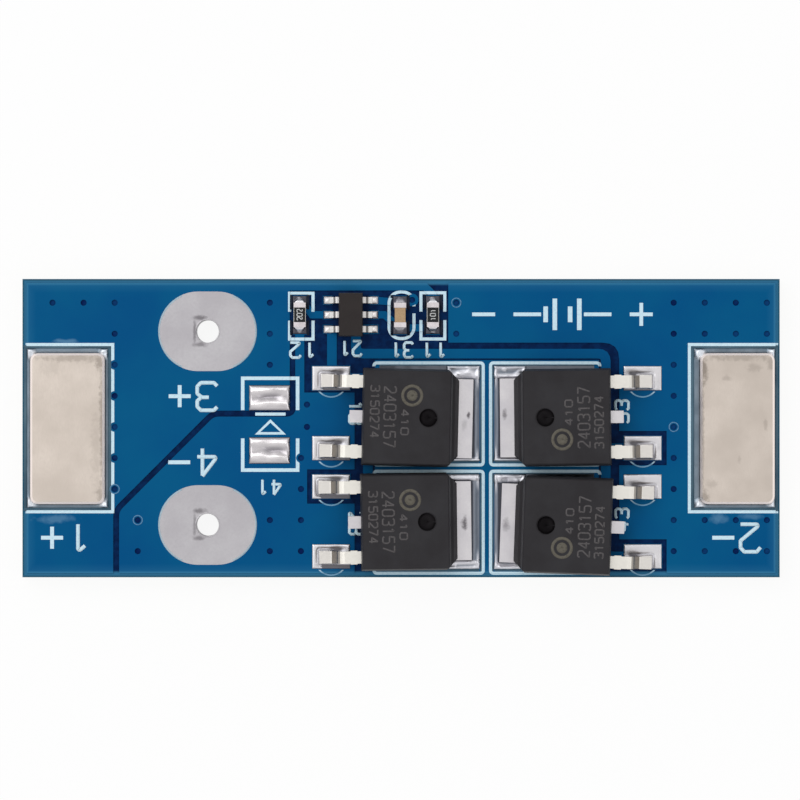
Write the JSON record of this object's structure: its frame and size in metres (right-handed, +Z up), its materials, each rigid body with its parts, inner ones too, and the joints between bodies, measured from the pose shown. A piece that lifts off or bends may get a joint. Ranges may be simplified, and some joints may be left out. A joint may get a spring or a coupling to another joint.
{
  "type": "battery management board",
  "caption": "Blue battery management board with nickel cell tabs at both ends, wire holes, back-to-back power transistors and a small protection chip.",
  "frame": {"origin": "centre of the underside of the board", "axes": "+X along the board's length, towards the negative cell tab; +Y along its width, towards the protection chip; +Z up, out of the component side"},
  "size_m": [0.0494, 0.0196, 0.0039],
  "materials": {
    "laminate": "glass-epoxy laminate, matt, with cut edges",
    "copper": "copper foil and plating, satin",
    "mask_top": "blue solder mask, semi-gloss",
    "mask_bottom": "blue solder mask, semi-gloss",
    "ink": "white printed ink, matt",
    "wire_pad_tin": "levelled tin, dull",
    "tab_solder": "solder, bright and uneven",
    "nickel": "rolled nickel, satin",
    "epoxy": "moulded epoxy, satin black",
    "drain_frame": "tinned copper frame, satin",
    "tinned_leads": "tinned leads, satin",
    "part_solder": "solder, bright",
    "pad_solder": "solder, dull satin",
    "chip_epoxy": "moulded epoxy, satin black",
    "plated_ends": "tin plating, satin",
    "resistor_coat": "glass coat over the resistive film",
    "alumina": "fired alumina, matt",
    "capacitor_ceramic": "fired ceramic, matt tan"
  },
  "bodies": {
    "root": {"laminate": "laminate", "copper_battery_positive": "copper", "copper_battery_negative": "copper", "copper_pack_negative": "copper", "copper_drain": "copper", "copper_charge_gates": "copper", "copper_discharge_gates": "copper", "copper_chip_traces": "copper", "solder_mask_top": "mask_top", "solder_mask_bottom": "mask_bottom", "printed_ink": "ink", "wire_pad_tin_positive": "wire_pad_tin", "wire_pad_tin_negative": "wire_pad_tin", "cell_tab_positive": "nickel", "cell_tab_negative": "nickel", "cell_tab_solder_positive": "tab_solder", "cell_tab_solder_negative": "tab_solder", "transistor_1_housing": "epoxy", "transistor_1_drain_frame": "drain_frame", "transistor_1_gate_lead": "tinned_leads", "transistor_1_source_lead": "tinned_leads", "transistor_1_solder": "part_solder", "transistor_2_housing": "epoxy", "transistor_2_drain_frame": "drain_frame", "transistor_2_gate_lead": "tinned_leads", "transistor_2_source_lead": "tinned_leads", "transistor_2_solder": "part_solder", "transistor_3_housing": "epoxy", "transistor_3_drain_frame": "drain_frame", "transistor_3_gate_lead": "tinned_leads", "transistor_3_source_lead": "tinned_leads", "transistor_3_solder": "part_solder", "transistor_4_housing": "epoxy", "transistor_4_drain_frame": "drain_frame", "transistor_4_gate_lead": "tinned_leads", "transistor_4_source_lead": "tinned_leads", "transistor_4_solder": "part_solder", "protection_chip_housing": "chip_epoxy", "protection_chip_leads": "tinned_leads", "protection_chip_solder": "part_solder", "detect_resistor_ceramic": "alumina", "detect_resistor_film": "resistor_coat", "detect_resistor_ends": "plated_ends", "detect_resistor_solder": "part_solder", "filter_resistor_ceramic": "alumina", "filter_resistor_film": "resistor_coat", "filter_resistor_ends": "plated_ends", "filter_resistor_solder": "part_solder", "filter_capacitor_ceramic": "capacitor_ceramic", "filter_capacitor_ends": "plated_ends", "filter_capacitor_solder": "part_solder", "empty_diode_solder": "pad_solder"}
  },
  "joints": []
}
